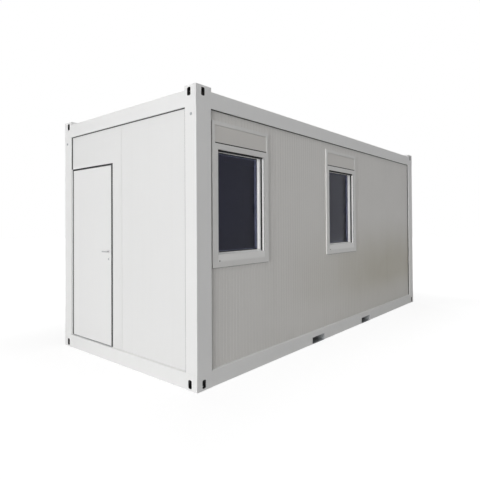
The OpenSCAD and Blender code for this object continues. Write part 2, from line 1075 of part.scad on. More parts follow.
// Two levers on one spindle through the leaf
module door_lever() {
    outer = leaf_front - lever_space - lever_radius;
    inner = leaf_back + lever_space + lever_radius;
    color("Silver")
        at_end(-1)
            translate([0, lever_y, lever_level]) {
                translate([outer, 0, 0])
                    rotate([0, 90, 0])
                        cylinder(r = lever_radius, h = inner - outer);
                for (x = [outer, inner])
                    translate([x, 0, 0]) {
                        sphere(r = lever_radius);
                        rotate([-90, 0, 0])
                            cylinder(r = lever_radius, h = lever_reach - lever_radius);
                        translate([0, lever_reach - lever_radius, 0])
                            sphere(r = lever_radius);
                    }
            }
}

// One line for each piece

end_rail(-1, 0, base_rail_height);  // base_rail_door_end
end_rail(1, 0, base_rail_height);  // base_rail_back_end
pocket_rail(-1);  // base_rail_window_side
pocket_rail(1);  // base_rail_plain_side
base_castings();
fork_pockets();
floor_joists();
belly_sheets();
floor_deck();
floor_covering();
post(-1, -1);  // post_door_window
post(-1, 1);  // post_door_plain
post(1, -1);  // post_back_window
post(1, 1);  // post_back_plain
end_rail(-1, roof_rail_low, roof_rail_height);  // roof_rail_door_end
end_rail(1, roof_rail_low, roof_rail_height);  // roof_rail_back_end
plain_rail(-1);  // roof_rail_window_side
plain_rail(1);  // roof_rail_plain_side
roof_castings();
roof_sheet();
ceiling();
door_end_panel();
beside_door_panel();
over_door_panel();
back_end_panels();
window_side_panels();
window_panel(0);  // near_window_panel
window_panel(1);  // far_window_panel
plain_side_panels();
casing(0);  // near_casing
casing(1);  // far_casing
shutter_box(0);  // near_shutter_box
shutter_box(1);  // far_shutter_box
shutter_bars();
sash(0);  // near_sash
sash(1);  // far_sash
glass(0);  // near_glass
glass(1);  // far_glass
window_handles();
door_frame();
door_seal();
door_threshold();
jamb_hinges();
door_leaf();
leaf_hinges();
door_roses();
door_lever();
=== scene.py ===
# %% [markdown]
# # A container cabin, dressed in Blender
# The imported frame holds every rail, post, panel, window and the door at its true size. This
# lesson adds what a camera sees on the real cabin: soft edges, rubber strips, fasteners, window
# fittings and the finish of each surface. One unit is one metre, the ground is z = 0, the door
# end faces -X and the window wall faces -Y.

# %% Load the frame
import math

import bmesh
import bpy
from mathutils import Euler, Matrix, Vector


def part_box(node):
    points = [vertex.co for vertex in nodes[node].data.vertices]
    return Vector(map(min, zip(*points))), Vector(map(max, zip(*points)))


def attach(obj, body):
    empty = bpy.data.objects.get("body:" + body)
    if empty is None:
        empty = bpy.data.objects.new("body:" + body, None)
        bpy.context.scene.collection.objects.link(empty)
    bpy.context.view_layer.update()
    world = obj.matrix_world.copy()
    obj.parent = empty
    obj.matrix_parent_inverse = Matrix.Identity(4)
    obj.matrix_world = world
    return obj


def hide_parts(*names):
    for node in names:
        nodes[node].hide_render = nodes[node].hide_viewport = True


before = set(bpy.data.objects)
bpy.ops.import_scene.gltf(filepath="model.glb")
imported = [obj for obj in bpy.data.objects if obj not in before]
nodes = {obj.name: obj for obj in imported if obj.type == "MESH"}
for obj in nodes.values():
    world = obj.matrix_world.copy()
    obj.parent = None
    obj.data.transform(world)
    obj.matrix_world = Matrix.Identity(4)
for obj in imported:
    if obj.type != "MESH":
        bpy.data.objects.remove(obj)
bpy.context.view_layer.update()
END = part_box("base_castings")[1].x
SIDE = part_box("base_castings")[1].y
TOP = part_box("roof_castings")[1].z
print(len(nodes), "nodes, and a cabin of", round(2 * END, 3), round(2 * SIDE, 3), round(TOP, 3))

# %% [markdown]
# ## The camera
# The picture was taken at eye height, from off the corner between the door end and the window
# wall. A camera can be placed by eye, or solved: here the corners of the cabin were matched to
# the picture, which gives the place, the turn and the lens at once. The optical axis meets the
# picture a little left of and above its middle, and the lens shift repeats that.

# %% Camera
PICTURE = 480
SENSOR = 36.0
EYE = Vector((-5.839, -4.039, 1.583))
TURN = math.radians(41.77)
LIFT = math.radians(0.75)
ROLL = math.radians(-0.3)
FOCAL_PIXELS = 426.7
AXIS_PIXEL = (221.2, 217.2)


def aim(turn, lift):
    """The direction that is turned from X about Z and lifted by these angles."""
    flat = math.cos(lift)
    return Vector((flat * math.cos(turn), flat * math.sin(turn), math.sin(lift)))


forward = aim(TURN, LIFT)
level = aim(TURN - math.pi / 2, 0)
upward = level.cross(forward)
right = level * math.cos(ROLL) + upward * math.sin(ROLL)
up = upward * math.cos(ROLL) - level * math.sin(ROLL)

bpy.ops.object.camera_add()
camera = bpy.context.object
turned = Matrix((right, up, -forward)).transposed().to_4x4()
camera.matrix_world = Matrix.Translation(EYE) @ turned
camera.data.sensor_width = SENSOR
camera.data.lens = FOCAL_PIXELS / PICTURE * SENSOR
camera.data.shift_x = 0.5 - AXIS_PIXEL[0] / PICTURE
camera.data.shift_y = AXIS_PIXEL[1] / PICTURE - 0.5
bpy.context.scene.camera = camera
print("camera with a lens of", round(camera.data.lens, 2), "mm at", EYE.to_tuple(2))

# %% [markdown]
# ## Shader nodes in one line
# Every finish below is a small tree of shader nodes. Adding a node, setting it and linking it
# takes many lines by hand, so one helper does all three. An input is given as a value, or as the
# output socket of another node.

# %% Node helper
def add_node(tree, kind, inputs=None, **settings):
    """Adds a node to a tree, with its settings, its input values and its links."""
    made = tree.nodes.new(kind)
    for name, value in settings.items():
        setattr(made, name, value)
    for name, value in (inputs or {}).items():
        if isinstance(value, bpy.types.NodeSocket):
            tree.links.new(value, made.inputs[name])
        else:
            made.inputs[name].default_value = value
    return made


def calc(tree, operation, a, b=0.0):
    """A Math node of one or two inputs."""
    return add_node(tree, "ShaderNodeMath", {0: a, 1: b}, operation=operation).outputs[0]


def product(tree, share, *factors):
    """A share times other values."""
    for factor in factors:
        share = calc(tree, "MULTIPLY", share, factor)
    return share


def spread(tree, value, low, high, to_low=0.0, to_high=1.0):
    """A soft ramp of value from one range to another."""
    ranges = {"Value": value, 1: low, 2: high, 3: to_low, 4: to_high}
    made = add_node(tree, "ShaderNodeMapRange", ranges, interpolation_type="SMOOTHSTEP")
    return made.outputs[0]


def tint(tree, share, colour, over):
    """Mixes a second colour over a first one, by a share from 0 to 1."""
    made = add_node(tree, "ShaderNodeMix", {0: share, 6: colour, 7: over}, data_type="RGBA")
    return made.outputs[2]


def shade(value):
    """A neutral grey as a colour."""
    return (value, value, value, 1)


def object_place(tree):
    """The Object coordinates, which are metres on the cabin."""
    return add_node(tree, "ShaderNodeTexCoord").outputs["Object"]


def split(tree, place):
    """The X, Y and Z of a place."""
    return add_node(tree, "ShaderNodeSeparateXYZ", {0: place}).outputs


print("helpers for shader trees are ready")

# %% [markdown]
# ## The studio
# The cabin stands on a plain white floor under soft light. A broad, low, distant lamp shines on
# the door end and only grazes the window wall, so that every edge there which faces the door end
# lights up. A lamp above the near corner brightens the floor, one behind rims the roof, and a dim
# sky fills in the rest. Rays from the camera, from gloss and through glass see plain white behind
# the cabin. The floor keeps its own shading close by, where the soft shadow lies, and turns plain
# white further out.

# %% World
SKY_LEVEL = 0.155


def seen(tree):
    """One for rays from the camera, from gloss and through glass, and zero for light."""
    path = add_node(tree, "ShaderNodeLightPath").outputs
    shown = calc(tree, "MAXIMUM", path["Is Camera Ray"], path["Is Glossy Ray"])
    return calc(tree, "MAXIMUM", shown, path["Is Transmission Ray"])


world = bpy.data.worlds.new("studio")
bpy.context.scene.world = world
world.use_nodes = True
tree = world.node_tree
tree.nodes.clear()
sky = add_node(tree, "ShaderNodeBackground", {"Color": shade(1), "Strength": SKY_LEVEL})
white = add_node(tree, "ShaderNodeBackground", {"Color": shade(1), "Strength": 1})
shown = add_node(
    tree, "ShaderNodeMixShader", {0: seen(tree), 1: sky.outputs[0], 2: white.outputs[0]}
)
add_node(tree, "ShaderNodeOutputWorld", {"Surface": shown.outputs[0]})
bpy.context.scene.view_settings.view_transform = "Standard"
print("world of sky level", SKY_LEVEL)

# %% Floor
FLOOR_SIZE = 80
FLOOR_SHADE = 0.85
FLOOR_GLOW = 1.15
WHITE_NEAR = 0.75
SHADOW_REACH = 3.5

bpy.ops.mesh.primitive_plane_add(size=FLOOR_SIZE)
floor = bpy.context.object
floor.name = "studio_floor"
floor_finish = bpy.data.materials.new("studio_floor")
floor_finish.use_nodes = True
tree = floor_finish.node_tree
tree.nodes.clear()
matt = add_node(tree, "ShaderNodeBsdfDiffuse", {"Color": shade(FLOOR_SHADE)})
glow = add_node(tree, "ShaderNodeEmission", {"Color": shade(1), "Strength": FLOOR_GLOW})
axes = split(tree, object_place(tree))
off_end = calc(tree, "SUBTRACT", calc(tree, "ABSOLUTE", axes["X"]), END)
off_side = calc(tree, "SUBTRACT", calc(tree, "ABSOLUTE", axes["Y"]), SIDE)
away = calc(tree, "MAXIMUM", off_end, off_side)
share = spread(tree, away, 0.0, SHADOW_REACH, WHITE_NEAR, 1.0)
share = product(tree, seen(tree), share)
mixed = add_node(tree, "ShaderNodeMixShader", {0: share, 1: matt.outputs[0], 2: glow.outputs[0]})
add_node(tree, "ShaderNodeOutputMaterial", {"Surface": mixed.outputs[0]})
floor.data.materials.append(floor_finish)
print("floor of", FLOOR_SIZE, "m")

# %% Lamps
KEY_TURN = math.radians(192)
KEY_HEIGHT = math.radians(2)
KEY_DISTANCE = 20
OVER_CORNER = Vector((0.3, -1.3, 8.6))
BEHIND = Vector((9, 9, 6))


def add_lamp(name, place, target, size, power):
    """A square soft lamp that faces a point."""
    bpy.ops.object.light_add(type="AREA", location=place)
    lamp = bpy.context.object
    lamp.name = name
    lamp.data.shape = "SQUARE"
    lamp.data.size = size
    lamp.data.energy = power
    lamp.rotation_euler = (target - place).to_track_quat("-Z", "Y").to_euler()


corner = Vector((-END, -SIDE, TOP / 2))
key = corner + KEY_DISTANCE * aim(KEY_TURN, KEY_HEIGHT)
overhead = corner + OVER_CORNER
add_lamp("door_end_lamp", key, corner, size=7, power=3330)
add_lamp("overhead_lamp", overhead, overhead - Vector((0, 0, 1)), size=6, power=285)
add_lamp("back_lamp", BEHIND, Vector((0, 0, TOP / 2)), size=6, power=350)

# %% [markdown]
# ## Shared effects
# Paint on a cabin is never one flat colour. Rain draws faint upright streaks, splashes leave dust
# on the lowest half metre, and sprayed paint dries with a fine skin over sheet that is not quite
# flat. Pictures of such wear would need unwrapping and would repeat, so each effect is a node
# group of noise. All read Object coordinates, which are metres on the cabin, because every object
# here sits at the origin.

# %% Group helper
def new_group(name, *outputs):
    """An empty shader group with named outputs, and the Object coordinates inside it."""
    group = bpy.data.node_groups.new(name, "ShaderNodeTree")
    for label in outputs:
        group.interface.new_socket(label, in_out="OUTPUT", socket_type="NodeSocketFloat")
    return group, object_place(group)


def noise(tree, place, scale, detail=2.0, rough=0.5, stretch=None):
    """Soft noise of about one patch in 1 / scale metres, stretched along an axis if asked."""
    if stretch:
        both = {0: place, 1: stretch}
        place = add_node(tree, "ShaderNodeVectorMath", both, operation="MULTIPLY").outputs[0]
    inputs = {"Vector": place, "Scale": scale, "Detail": detail, "Roughness": rough}
    return add_node(tree, "ShaderNodeTexNoise", inputs).outputs[0]


def cells(tree, place, scale):
    """A tone of its own for each cell of about 1 / scale metres."""
    made = add_node(tree, "ShaderNodeTexVoronoi", {"Vector": place, "Scale": scale})
    return add_node(tree, "ShaderNodeSeparateColor", {0: made.outputs["Color"]}).outputs[0]


print("helpers for node groups are ready")

# %% Weather
SPLASH_HEIGHT = 0.55
RUN_STRETCH = (17.0, 17.0, 0.45)

weather, place = new_group("Weather", "Dust", "Streaks")
splash = spread(weather, split(weather, place)["Z"], 0.0, SPLASH_HEIGHT, 1.0, 0.0)
blots = noise(weather, place, scale=6.0, detail=6.0, rough=0.62)
dust = product(weather, splash, spread(weather, blots, 0.35, 0.7, 0.5, 1.1))
runs = noise(weather, place, scale=1.0, detail=5.0, rough=0.6, stretch=RUN_STRETCH)
streaks = spread(weather, runs, 0.5, 0.74)
add_node(weather, "NodeGroupOutput", {"Dust": dust, "Streaks": streaks})
print("weather with dust up to", SPLASH_HEIGHT, "m")

# %% Paint skin
PEEL_SCALE = 240.0
PEEL_SHARE = 0.12
WAVE_SCALE = 1.7

skin, place = new_group("Paint skin", "Height")
peel = product(skin, noise(skin, place, PEEL_SCALE, detail=1.0), PEEL_SHARE)
waves = noise(skin, place, WAVE_SCALE)
add_node(skin, "NodeGroupOutput", {"Height": calc(skin, "ADD", peel, waves)})
print("paint skin with waves of about", round(1 / WAVE_SCALE, 2), "m")

# %% Zinc spangle
FLAKE_SCALE = 70.0

zinc_grain, place = new_group("Zinc spangle", "Tone")
add_node(zinc_grain, "NodeGroupOutput", {"Tone": cells(zinc_grain, place, FLAKE_SCALE)})
print("zinc flakes of about", round(1000 / FLAKE_SCALE), "mm")

# %% Fine grain
grain, place = new_group("Fine grain", "Cloud", "Speck")
cloud = noise(grain, place, scale=11.0, detail=5.0, rough=0.6)
speck = noise(grain, place, scale=420.0)
add_node(grain, "NodeGroupOutput", {"Cloud": cloud, "Speck": speck})
print("groups:", [g.name for g in bpy.data.node_groups])

# %% [markdown]
# ## Painted steel
# The frame, the wall panels and the door are all sheet steel under a grey-white paint, and differ
# only in tone, gloss and how much weather they carry. Each could have a tree of its own, but one
# function keeps them alike, and each call gives its own values. Dust is a warm grey over the paint
# and duller than it, so the same mask raises the roughness.

# %% Paint
DUST_COLOUR = (0.50, 0.46, 0.40, 1)
DUST_DULLS = 0.2
RUN_COLOUR = (0.56, 0.55, 0.52, 1)


def new_finish(name):
    """A material with a plain Principled shader, and its tree."""
    made = bpy.data.materials.new(name)
    made.use_nodes = True
    return made, made.node_tree, made.node_tree.nodes["Principled BSDF"]


def use_group(tree, group):
    """The outputs of a group that is placed in a tree."""
    return add_node(tree, "ShaderNodeGroup", node_tree=group).outputs


def feed(tree, shader, tone, dull, height=None, depth=0.0):
    """Links a colour, a roughness and perhaps a height of some depth in metres to a shader."""
    tree.links.new(tone, shader.inputs["Base Color"])
    tree.links.new(dull, shader.inputs["Roughness"])
    if height is not None:
        bump = {"Height": height, "Distance": depth, "Strength": 1.0}
        relief = add_node(tree, "ShaderNodeBump", bump).outputs[0]
        tree.links.new(relief, shader.inputs["Normal"])


def paint(name, colour, rough, dust, runs, depth):
    """Paint on sheet steel with its share of dust and of rain runs."""
    made, tree, shader = new_finish(name)
    mask = use_group(tree, weather)
    dirt = product(tree, mask["Dust"], dust)
    wet = product(tree, mask["Streaks"], runs)
    tone = tint(tree, wet, (*colour, 1), RUN_COLOUR)
    tone = tint(tree, dirt, tone, DUST_COLOUR)
    dull = calc(tree, "ADD", product(tree, mask["Dust"], DUST_DULLS), rough)
    feed(tree, shader, tone, dull, use_group(tree, skin)["Height"], depth)
    return made


frame_paint = paint(
    "frame_paint", (0.825, 0.825, 0.82), rough=0.40, dust=0.03, runs=0.04, depth=0.0011
)
smooth_wall = paint(
    "smooth_wall_paint", (0.795, 0.795, 0.79), rough=0.48, dust=0.05, runs=0.04, depth=0.0016
)
door_paint = paint(
    "door_paint", (0.815, 0.815, 0.81), rough=0.42, dust=0.05, runs=0.02, depth=0.0012
)
shutter_paint = paint(
    "shutter_paint", (0.69, 0.672, 0.645), rough=0.45, dust=0.0, runs=0.05, depth=0.0010
)
print("paints:", [m.name for m in (frame_paint, smooth_wall, door_paint, shutter_paint)])

# %% [markdown]
# ## Ribbed wall paint
# The panels of the long walls have shallow rolled grooves. They are cut in the mesh, and the grooves
# are also painted darker, as a little dirt and as painted shade in the grooves, which makes them show
# from afar. The spacing of the grooves gives a mask along X, so the dark line lies in them without
# any painting by hand. It counts only on the outer face, because the inside of the panel stays clean.

# %% Ribbed walls
PANEL_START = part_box("plain_side_panels")[0].x
PANEL_PITCH = (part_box("far_window_panel")[0].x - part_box("near_window_panel")[0].x) / 2
PANEL_JOINT = 0.003
GROOVES = 22
GROOVE_PITCH = (PANEL_PITCH - PANEL_JOINT) / GROOVES
GROOVE_DARK_HALF = 0.0065
OUTER_DEPTH = 0.03
GROOVE_DIRT_AND_SHADE = (0.34, 0.33, 0.31, 1)


def recolour(material, share, colour):
    """Lays a second colour over what a finish has so far."""
    tree = material.node_tree
    base = tree.nodes["Principled BSDF"].inputs["Base Color"]
    tree.links.new(tint(tree, share, base.links[0].from_socket, colour), base)


ribbed_wall = paint(
    "ribbed_wall_paint", (0.735, 0.722, 0.70), rough=0.46, dust=0.10, runs=0.07, depth=0.0012
)
tree = ribbed_wall.node_tree
place = object_place(tree)
axes = split(tree, place)
along = calc(tree, "FLOORED_MODULO", calc(tree, "SUBTRACT", axes["X"], PANEL_START), PANEL_PITCH)
step = calc(tree, "FRACT", calc(tree, "DIVIDE", along, GROOVE_PITCH))
away = calc(tree, "ABSOLUTE", calc(tree, "SUBTRACT", step, 0.5))
line = spread(tree, away, 0.0, GROOVE_DARK_HALF / GROOVE_PITCH, 1.0, 0.0)
outside = calc(tree, "GREATER_THAN", calc(tree, "ABSOLUTE", axes["Y"]), SIDE - OUTER_DEPTH)
patch = noise(tree, place, scale=1.1, detail=4.0, rough=0.55)
patch = spread(tree, patch, 0.3, 0.65, 0.10, 0.34)
# dirt and painted shade in the grooves
groove_dirt_and_shade = product(tree, line, outside, patch)
recolour(ribbed_wall, groove_dirt_and_shade, GROOVE_DIRT_AND_SHADE)
print("ribs every", round(GROOVE_PITCH * 1000, 1), "mm on", ribbed_wall.name)

# %% [markdown]
# ## Painted shade on the long walls
# The lower half of the long walls is painted darker and yellower, as painted shade, more so toward
# the back end and less at the very foot. A picture of that would need unwrapping. A mask needs none:
# it grows along X, fades up and down the wall and breaks up in large soft patches, and it lays the
# painted shade over the walls and, weaker, over the frame.

# %% Painted shade on the walls
SHADE_TONE = (0.50, 0.475, 0.405, 1)
SHADE_ALONG = (-2.4, 2.0)
SHADE_HEIGHT = (0.8, 1.8)
SHADE_FOOT = (0.2, 0.75)


def paint_wall_shade(material, strength):
    """Lays the painted shade of the long walls over what a finish has so far."""
    tree = material.node_tree
    place = object_place(tree)
    axes = split(tree, place)
    back = spread(tree, axes["X"], *SHADE_ALONG)
    low = spread(tree, axes["Z"], *SHADE_HEIGHT, strength, 0.0)
    foot = spread(tree, axes["Z"], *SHADE_FOOT, 0.25, 1.0)
    patches = spread(tree, noise(tree, place, scale=0.8), 0.3, 0.7, 0.8, 1.1)
    # painted shade: darker and yellower toward the back end and on the lower wall
    recolour(material, product(tree, back, low, foot, patches), SHADE_TONE)


paint_wall_shade(ribbed_wall, strength=1.0)
paint_wall_shade(frame_paint, strength=0.25)
print("soil on", ribbed_wall.name, "and", frame_paint.name)

# %% [markdown]
# ## Bare metals
# The roof, the fork pockets, the floor joists and the sheets below are galvanised: zinc freezes
# in flakes of different tone. The insides of the castings are raw steel, nearly black and rough,
# which is also painted shade for the hollow. Handles are satin metal, brushed along one direction,
# which a stretched noise gives. All are the same small tree, with another mask and other values.

# %% Metals
BRUSH_STRETCH = (9.0, 1.0, 30.0)


def two_tones(tree, share, colour, contrast):
    """A colour and a darker one of the same hue, mixed by a mask."""
    dark = tuple(c * (1 - contrast) for c in colour) + (1,)
    return tint(tree, share, dark, (*colour, 1))


def metal(name, colour, mask, rough, shine, contrast, depth):
    """A metal whose tone and roughness change with a mask, given as a group and its output."""
    made, tree, shader = new_finish(name)
    group, output = mask
    share = use_group(tree, group)[output]
    dull = spread(tree, share, 0, 1, rough - 0.06, rough + 0.08)
    shader.inputs["Metallic"].default_value = shine
    feed(tree, shader, two_tones(tree, share, colour, contrast), dull, share, depth)
    return made


brushed, place = new_group("Brushed", "Lines")
lines = noise(brushed, place, scale=60.0, detail=3.0, rough=0.6, stretch=BRUSH_STRETCH)
add_node(brushed, "NodeGroupOutput", {"Lines": lines})

spangle, cloudy, satin = (zinc_grain, "Tone"), (grain, "Cloud"), (brushed, "Lines")
zinc = metal(
    "zinc_sheet", (0.50, 0.515, 0.525), spangle, rough=0.46, shine=0.65, contrast=0.14, depth=0.00005
)
raw_steel_and_shade = metal(
    "raw_steel_and_shade", (0.045, 0.043, 0.042), cloudy, rough=0.62, shine=0.2, contrast=0.5, depth=0.0004
)
bolt_zinc = metal(
    "bolt_zinc", (0.52, 0.53, 0.55), cloudy, rough=0.33, shine=0.9, contrast=0.25, depth=0.00004
)
handle_metal = metal(
    "handle_metal", (0.55, 0.55, 0.56), satin, rough=0.34, shine=0.95, contrast=0.3, depth=0.00003
)
rose_metal = metal(
    "rose_metal", (0.80, 0.80, 0.80), satin, rough=0.40, shine=0.6, contrast=0.1, depth=0.00003
)
print("metals:", [m.name for m in (zinc, raw_steel_and_shade, bolt_zinc, handle_metal, rose_metal)])

# %% [markdown]
# ## Plastics and rubber
# The windows are white moulded plastic with a soft gloss. Rubber is nearly black, and so is the
# pile of a brush, which also serves as painted shade in the shutter's slot and guides. A flat colour
# would look like a drawing, so each gets two close tones in soft clouds and a fine texture, from the
# shared grain. The same tree serves sealant and boards.

# %% Plastics and rubber
def moulded(name, colour, rough, contrast, depth):
    """Plastic, rubber or board with cloudy tone and a fine texture."""
    made, tree, shader = new_finish(name)
    mask = use_group(tree, grain)
    tone = two_tones(tree, spread(tree, mask["Cloud"], 0.3, 0.7), colour, contrast)
    dull = spread(tree, mask["Cloud"], 0.3, 0.7, rough - 0.05, rough + 0.07)
    feed(tree, shader, tone, dull, mask["Speck"], depth)
    return made


window_white = moulded("window_plastic", (0.76, 0.755, 0.74), rough=0.36, contrast=0.04, depth=0.00006)
sash_white = moulded("sash_plastic", (0.92, 0.92, 0.915), rough=0.30, contrast=0.03, depth=0.00005)
rubber = moulded("seal_rubber", (0.022, 0.022, 0.023), rough=0.62, contrast=0.35, depth=0.0002)
brush_pile_and_shade = moulded("brush_pile_and_shade", (0.012, 0.012, 0.013), rough=0.85, contrast=0.4, depth=0.0012)
sealant = moulded("sealant", (0.80, 0.80, 0.79), rough=0.55, contrast=0.08, depth=0.0003)
seam_grey = moulded("seam_plastic", (0.33, 0.33, 0.32), rough=0.45, contrast=0.1, depth=0.0001)
ceiling_board = moulded("ceiling_board", (0.82, 0.82, 0.80), rough=0.7, contrast=0.03, depth=0.0003)
shutter_metal = moulded(
    "shutter_aluminium", (0.66, 0.66, 0.65), rough=0.38, contrast=0.05, depth=0.00006
)
print("materials so far:", len(bpy.data.materials))

# %% [markdown]
# ## Floor goods
# The room has a speckled sheet floor on raw plywood. The speckles are flat chips of different
# tone, which are the cells of a Voronoi texture, and scuffs change their gloss. Plywood shows its
# fibres, a noise that is stretched along the board.

# %% Floor goods
CHIP_SCALE = 190.0
CHIP_DARK = (0.17, 0.175, 0.18, 1)
CHIP_LIGHT = (0.34, 0.345, 0.35, 1)
FIBRE_STRETCH = (0.7, 16.0, 16.0)
WOOD_DARK = (0.42, 0.29, 0.17, 1)
WOOD_LIGHT = (0.62, 0.48, 0.31, 1)

sheet_floor, tree, shader = new_finish("sheet_floor")
place = object_place(tree)
chip = cells(tree, place, CHIP_SCALE)
speckled = tint(tree, spread(tree, chip, 0.2, 0.9), CHIP_DARK, CHIP_LIGHT)
scuffs = noise(tree, place, scale=2.0, detail=6.0, rough=0.6)
feed(tree, shader, speckled, spread(tree, scuffs, 0.35, 0.7, 0.38, 0.6), chip, depth=0.0001)

plywood, tree, shader = new_finish("plywood")
place = object_place(tree)
fibre = noise(tree, place, scale=6.0, detail=7.0, rough=0.65, stretch=FIBRE_STRETCH)
board = tint(tree, spread(tree, fibre, 0.3, 0.7), WOOD_DARK, WOOD_LIGHT)
feed(tree, shader, board, spread(tree, fibre, 0.2, 0.8, 0.65, 0.85), fibre, depth=0.0004)
print("floor goods:", sheet_floor.name, plywood.name)

# %% [markdown]
# ## Painted light on sills and reveals
# A plastic casing greys in the weather. Inside each opening and on a strip just below it, the casing
# is painted lighter, as painted light on the sill and the reveals, which catch the light from above
# and from the door end. Both are found by their place: within the width of an opening, and from a
# little below the sill up to the head. A mask from the coordinates does that without a second piece.

# %% Painted light on sills
WINDOWS = ("near", "far")
CASING_FACE = 0.082
SILL_FACE = 0.128
HEAD_FACE = 0.278
PAINTED_LIGHT_TONE = (0.875, 0.872, 0.86, 1)
STRIP = (0.085, 0.055)
NEAR = 0.0005
FADE = 0.006

casing_low, casing_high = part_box("near_casing")
SILL = casing_low.z + SILL_FACE
HEAD = casing_high.z - HEAD_FACE
OPENING = (casing_high.x - casing_low.x) / 2 - CASING_FACE
middles = {w: sum(v.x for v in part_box(w + "_casing")) / 2 for w in WINDOWS}

tree = window_white.node_tree
axes = split(tree, object_place(tree))
offsets = [calc(tree, "SUBTRACT", axes["X"], middle) for middle in middles.values()]
nearest = calc(tree, "MINIMUM", *(calc(tree, "ABSOLUTE", offset) for offset in offsets))
inside = spread(tree, nearest, OPENING + NEAR, OPENING + FADE, 1.0, 0.0)
above = spread(tree, axes["Z"], SILL - STRIP[0], SILL - STRIP[1])
below = calc(tree, "LESS_THAN", axes["Z"], HEAD - NEAR)
# painted light: the sill strip and the reveals are painted lighter than the rest of the casing
painted_light_mask = product(tree, inside, above, below)
recolour(window_white, painted_light_mask, PAINTED_LIGHT_TONE)
print("openings from", round(SILL, 3), "to", round(HEAD, 3), "m, and", round(2 * OPENING, 3), "m wide")

# %% [markdown]
# ## Glass
# Seen from outside by day a cabin's window is almost black, because little light comes back out
# of the room. The pane is a closed box of blue-grey glass, which tints the light on its way in
# and out, so the room stays dark while the bead round the pane shows through. A low index keeps
# the white studio's reflection weak, as a coated pane does, and a tint makes it bluish. Dust on
# the lower part of a pane makes it a little duller there.

# %% Glass
GLASS_INDEX = 1.18
REFLECTION = (0.66, 0.69, 1.0, 1)
PANE_CLEAN = (0.47, 0.485, 0.62, 1)
PANE_DUSTY = (0.53, 0.545, 0.67, 1)
DUST_LEVEL = (1.3, 1.8)

window_glass, tree, shader = new_finish("window_glass")
shader.inputs["Transmission Weight"].default_value = 1.0
shader.inputs["IOR"].default_value = GLASS_INDEX
shader.inputs["Specular Tint"].default_value = REFLECTION
film = use_group(tree, grain)["Cloud"]
pane_height = split(tree, object_place(tree))["Z"]
settled = product(tree, spread(tree, pane_height, *DUST_LEVEL, 1.0, 0.2), film)
tone = tint(tree, settled, PANE_CLEAN, PANE_DUSTY)
feed(tree, shader, tone, spread(tree, settled, 0.3, 0.8, 0.0, 0.04))
print("glass:", window_glass.name)

# %% [markdown]
# ## Finishes on the frame
# Most nodes of the frame already have the right shape, with their folds and grooves, so they only
# need a finish. A table of words in their names gives each its material, and the last word that
# fits wins.

# %% Finishes
FINISHES = {
    "": frame_paint,
    "door": door_paint,
    "panel": smooth_wall,
    "window_panel": ribbed_wall,
    "side_panels": ribbed_wall,
    "casing": window_white,
    "shutter_box": shutter_paint,
    "shutter_bars": shutter_metal,
    "sash": sash_white,
    "glass": window_glass,
    "hinges": handle_metal,
    "handles": handle_metal,
    "roses": rose_metal,
    "lever": handle_metal,
    "seal": rubber,
    "threshold": zinc,
    "roof_sheet": zinc,
    "belly": zinc,
    "joists": zinc,
    "pockets": zinc,
    "deck": plywood,
    "covering": sheet_floor,
    "ceiling": ceiling_board,
    "rail_": frame_paint,
    "post_": frame_paint,
}


def set_finish(obj, *materials):
    """Gives an object these materials and no others."""
    obj.data.materials.clear()
    for material in materials:
        obj.data.materials.append(material)


for name, obj in nodes.items():
    set_finish(obj, [m for word, m in FINISHES.items() if word in name][-1])
print("finishes on", len(nodes), "nodes")

# %% [markdown]
# ## Working on one piece at a time
# Operators act on whatever is selected, so every step first selects just its own object. A
# finished piece gets rounded edges, its materials and the body that it moves with. Where a piece
# stands in for a node of the frame, that node is no longer shown.

# %% Piece helpers
CURVED = math.radians(40)
SHARP = math.radians(30)


def only(obj):
    """Selects one object and makes it active."""
    bpy.ops.object.select_all(action="DESELECT")
    obj.select_set(True)
    bpy.context.view_layer.objects.active = obj


def freeze():
    """Turns the selected object's place, turn and scale into mesh."""
    bpy.ops.object.transform_apply(location=True, rotation=True, scale=True)


def use_modifier(obj, kind, **settings):
    """Adds a modifier, sets it and applies it."""
    only(obj)
    made = obj.modifiers.new(kind.lower(), kind)
    for name, value in settings.items():
        setattr(made, name, value)
    bpy.ops.object.modifier_apply(modifier=made.name)


def smooth(obj):
    """Smooth shading on curves, while large flat faces keep their own normals."""
    only(obj)
    bpy.ops.object.shade_smooth_by_angle(angle=CURVED)
    use_modifier(obj, "WEIGHTED_NORMAL", keep_sharp=True)


def soften(obj, radius, segments=2):
    """Rounds every sharp edge by a small bevel."""
    use_modifier(
        obj, "BEVEL", width=radius, segments=segments, limit_method="ANGLE", angle_limit=SHARP
    )
    smooth(obj)


def finish_piece(obj, slot, *materials, body="cabin", replaces=(), radius=None, segments=2):
    """Gives a piece its rounding, its materials and its body, and hides the nodes that it stands for."""
    if radius:
        soften(obj, radius, segments)
    if materials:
        set_finish(obj, *materials)
    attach(obj, body)
    if replaces:
        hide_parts(*replaces)
    print(obj.name, "with", len(obj.data.polygons), "faces on the", body)


print("helpers for pieces are ready")

# %% [markdown]
# ## Copies of nodes
# A node of the frame is made of loose triangles, and a bevel needs whole faces. A copy is merged
# and its flat faces are dissolved into one each, which leaves the shape as it was. Faces and
# edges are then picked by a test on their place, since a mesh has no names for them.

# %% Copies of nodes
MERGE = 0.00001
FLAT = math.radians(0.5)


def edit_all(obj):
    """Enters edit mode with all of an object selected."""
    only(obj)
    bpy.ops.object.mode_set(mode="EDIT")
    bpy.ops.mesh.select_all(action="SELECT")


